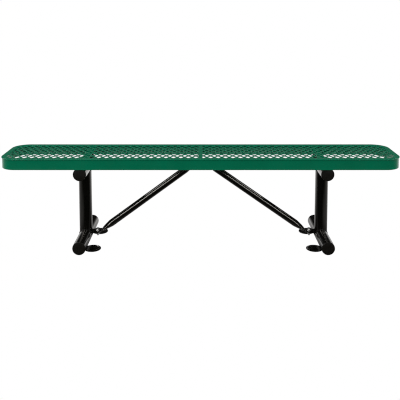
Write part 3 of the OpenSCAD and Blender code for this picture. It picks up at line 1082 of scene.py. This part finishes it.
def brace_top_hardware(material):
    """Bolt and washer from below, and the threaded insert in the middle bar."""
    under = span("left_diagonal_brace")[1][2] - BRACE_FLAT_T
    bar_low = span("center_seat_bar")[0][2]
    turn = np.array(UPSIDE_DOWN)
    place = (0, 0, under - WASHER_T)
    grip = WASHER_T + 2 * BRACE_FLAT_T + 14
    bolt = Shape().join(hex_bolt(SMALL_BOLT_R, grip), turn, place)
    ring = Shape().join(washer(SMALL_BOLT_R), None, place)
    bore_r, bulge_r = SMALL_BOLT_R + 0.05, INSERT_R + 1
    profile = [
        (bore_r, 0), (INSERT_R, 0), (INSERT_R, 2.0), (bulge_r, 2.1), (bulge_r, 3.0),
        (INSERT_R, 3.2), (INSERT_R, 13.6), (INSERT_R - 0.4, 14), (bore_r, 14),
    ]
    insert = Shape().loft([lift(circle(r, 48), bar_low + z) for r, z in profile], loop=True)
    for name, shape, node in (
        ("brace_top_screw", bolt, "brace_top_bolt"),
        ("brace_top_ring", ring, "brace_top_washer"),
        ("brace_top_rivet_nut", insert, "brace_top_insert"),
    ):
        finish_piece(new_object(name, shape), material, [node], sharp=28)


# ---------- The stage ----------


def glow(tree, light_kind, out_kind, mirrored, shed):
    """White to the camera, mirrored in reflections and shed on the bench."""
    ray = add_node(tree, "ShaderNodeLightPath").outputs
    lit = add_node(tree, "ShaderNodeMix", {0: ray["Is Glossy Ray"], 2: shed, 3: mirrored})
    seen = add_node(
        tree, "ShaderNodeMix", {0: ray["Is Camera Ray"], 2: lit.outputs[0], 3: 1.0}
    ).outputs[0]
    light = add_node(tree, light_kind, {"Color": (1, 1, 1, 1), "Strength": seen})
    out = add_node(tree, out_kind)
    tree.links.new(light.outputs[0], out.inputs["Surface"])


def stage_floor():
    """A plain pale floor. Reflections see it bright behind the bench, dimmer
    beside it and dark in front."""
    half = 30000.0
    below = -0.05
    corners = [(-half, -half), (half, -half), (half, half), (-half, half)]
    floor = new_object("floor", Shape().add([(x, y, below) for x, y in corners], [range(4)]))
    material = bpy.data.materials.new("pale_floor")
    material.use_nodes = True
    tree = material.node_tree
    tree.nodes.clear()
    place = add_node(tree, "ShaderNodeNewGeometry").outputs["Position"]
    spot = add_node(tree, "ShaderNodeSeparateXYZ", {"Vector": place}).outputs
    behind = ranged(tree, spot["Y"], 0.012, 1.0, -0.15, 0.6)
    aside = ranged(tree, maths(tree, "ABSOLUTE", spot["X"]), 0.0, 0.32, 0.62, 0.85)
    beside = maths(tree, "MULTIPLY", aside, ranged(tree, spot["Y"], 0.0, 1.0, -0.8, -0.3))
    mirrored = maths(tree, "MAXIMUM", behind, beside)
    glow(tree, "ShaderNodeEmission", "ShaderNodeOutputMaterial", mirrored, 0.26)
    floor.data.materials.append(material)


def hole_shade():
    """The shaded ground at the bottom of the four anchor holes."""
    count = 24
    shape = Shape()
    for side in SIDES.values():
        for front in ENDS.values():
            spot = circle(ANCHOR_R + 0.3, count, inboard(side, ANCHOR_IN), front * DISC_Y)
            shape.add(lift(spot, 0.3), [range(count)])
    patch = new_object("hole_shade", shape)
    material, tree, place, shader = new_material("shaded_ground")
    grit = noise(tree, place, 900.0, 3.0)
    colour = mixed(tree, grit, (0.02, 0.02, 0.02, 1), (0.05, 0.05, 0.05, 1))
    wire(tree, shader, {"Base Color": colour})
    patch.data.materials.append(material)


def studio_world():
    """White behind the bench. Reflections see a bright horizon that fades
    upwards, and what falls on the bench is soft and even."""
    world = bpy.data.worlds.new("studio")
    bpy.context.scene.world = world
    world.use_nodes = True
    tree = world.node_tree
    tree.nodes.clear()
    way = add_node(tree, "ShaderNodeTexCoord").outputs["Generated"]
    height = add_node(tree, "ShaderNodeSeparateXYZ", {"Vector": way}).outputs["Z"]
    soft = ranged(tree, height, 0.50, 0.62, 0.0, 0.9)
    horizon = ranged(tree, height, 0.6, 0.012, 0.0, 0.2)
    overhead = ranged(tree, height, 0.012, 0.12, 0.5, 0.95)
    mirrored = maths(tree, "MAXIMUM", horizon, overhead)
    glow(tree, "ShaderNodeBackground", "ShaderNodeOutputWorld", mirrored, soft)


def soft_light(name, place, aim, width, height, power, roll=0):
    light = bpy.data.lights.new(name, "AREA")
    light.shape = "RECTANGLE"
    light.size, light.size_y = width, height
    light.energy = power
    lamp = bpy.data.objects.new(name, light)
    bpy.context.scene.collection.objects.link(lamp)
    lamp.location = place
    facing = (Vector(aim) - Vector(place)).to_track_quat("-Z", "Y")
    rolled = facing @ Quaternion((0, 0, 1), math.radians(roll))
    lamp.rotation_euler = rolled.to_euler()


def studio_lights():
    soft_light("key", (-1.4, -3.2, 2.9), (0, 0, 0.3), 2.4, 1.5, 28)
    soft_light("left_strip", (-2.3, -3.12, 1.55), (-0.3, 0, 0.25), 1.6, 0.4, 40, 37)
    soft_light("right_strip", (2.3, -3.12, 1.55), (0.3, 0, 0.25), 1.6, 0.4, 26, -37)
    soft_light("top", (0.0, 0.3, 3.0), (0, 0, 0.4), 2.6, 1.2, 5)
    soft_light("left_high", (-3.2, 0.3, 2.5), (-0.9, 0, 0.43), 1.2, 0.9, 30)
    soft_light("right_high", (3.2, 0.3, 2.5), (0.9, 0, 0.43), 1.2, 0.9, 30)
    soft_light("left_rim", (-4.2, 0.5, 1.35), (-0.9, 0, 0.43), 1.2, 1.2, 22)
    soft_light("right_rim", (4.2, 0.5, 1.35), (0.9, 0, 0.43), 1.2, 1.2, 22)


def photo_camera():
    """The photograph's viewpoint: tilted down a little, with the lens shifted
    down as well. Away from this viewpoint the shift is nothing, so other views
    stay centred."""
    data = bpy.data.cameras.new("camera")
    data.sensor_width = 36.0
    data.lens = 56.85
    camera = bpy.data.objects.new("camera", data)
    bpy.context.scene.collection.objects.link(camera)
    place_y = -2.9307
    camera.location = (0.0, place_y, 1.1329)
    camera.rotation_euler = (math.radians(90 - 5.63), 0, 0)
    data.clip_end = 200.0
    bpy.context.scene.camera = camera
    shift_here(data, "shift_y", camera, place_y, -0.3385)
    shift_here(data, "shift_x", camera, place_y, -0.00125)


def shift_here(data, channel, camera, place_y, amount):
    """Drives a lens shift from the camera's own place along Y."""
    curve = data.driver_add(channel)
    driver = curve.driver
    driver.type = "SUM"
    variable = driver.variables.new()
    variable.type = "TRANSFORMS"
    target = variable.targets[0]
    target.id = camera
    target.transform_type = "LOC_Y"
    target.transform_space = "WORLD_SPACE"
    for modifier in list(curve.modifiers):
        curve.modifiers.remove(modifier)
    near, far = 0.006, 0.018
    for offset, value in ((-far, 0.0), (-near, amount), (near, amount), (far, 0.0)):
        key = curve.keyframe_points.insert(place_y + offset, value)
        key.interpolation = "LINEAR"
    curve.extrapolation = "CONSTANT"


# ---------- The bench ----------


def build_seat(green):
    seat_frame(green)
    expanded_sheet(green)
    middle_bar(green)
    for side_name in SIDES:
        seat_angle(side_name, green)


def build_leg(side_name, black, weld, plastic):
    side = SIDES[side_name]
    leg_tube(f"{side_name}_top_rail", side, TOP_Z, TOP_HALF, f"{side_name}_top_tube", black)
    leg_tube(f"{side_name}_foot_rail", side, FOOT_Z, FOOT_HALF, f"{side_name}_foot_tube", black)
    leg_post(side_name, black)
    for end_name, front in ENDS.items():
        label = f"{side_name}_{end_name}"
        seat_tab(side_name, end_name, black)
        foot_disc(side_name, end_name, black)
        end_plug(f"{label}_top_plug", side, front, TOP_Z, TOP_HALF, f"{label}_top_cap", plastic)
        end_plug(f"{label}_foot_plug", side, front, FOOT_Z, FOOT_HALF, f"{label}_foot_cap", plastic)
    brace_plate(side_name, black)
    leg_welds(side_name, weld)
    diagonal_brace(side_name, black)


def build_bench():
    green, black = coated_green(), powder_black()
    weld, plastic, zinc = weld_black(), black_plastic(), zinc_plate()
    build_seat(green)
    for side_name in SIDES:
        build_leg(side_name, black, weld, plastic)
    seat_hardware(zinc)
    brace_foot_hardware(zinc)
    brace_top_hardware(zinc)


build_bench()
stage_floor()
hole_shade()
studio_world()
studio_lights()
photo_camera()
bpy.context.scene.view_settings.view_transform = "Standard"
bpy.context.scene.cycles.filter_width = 1.15
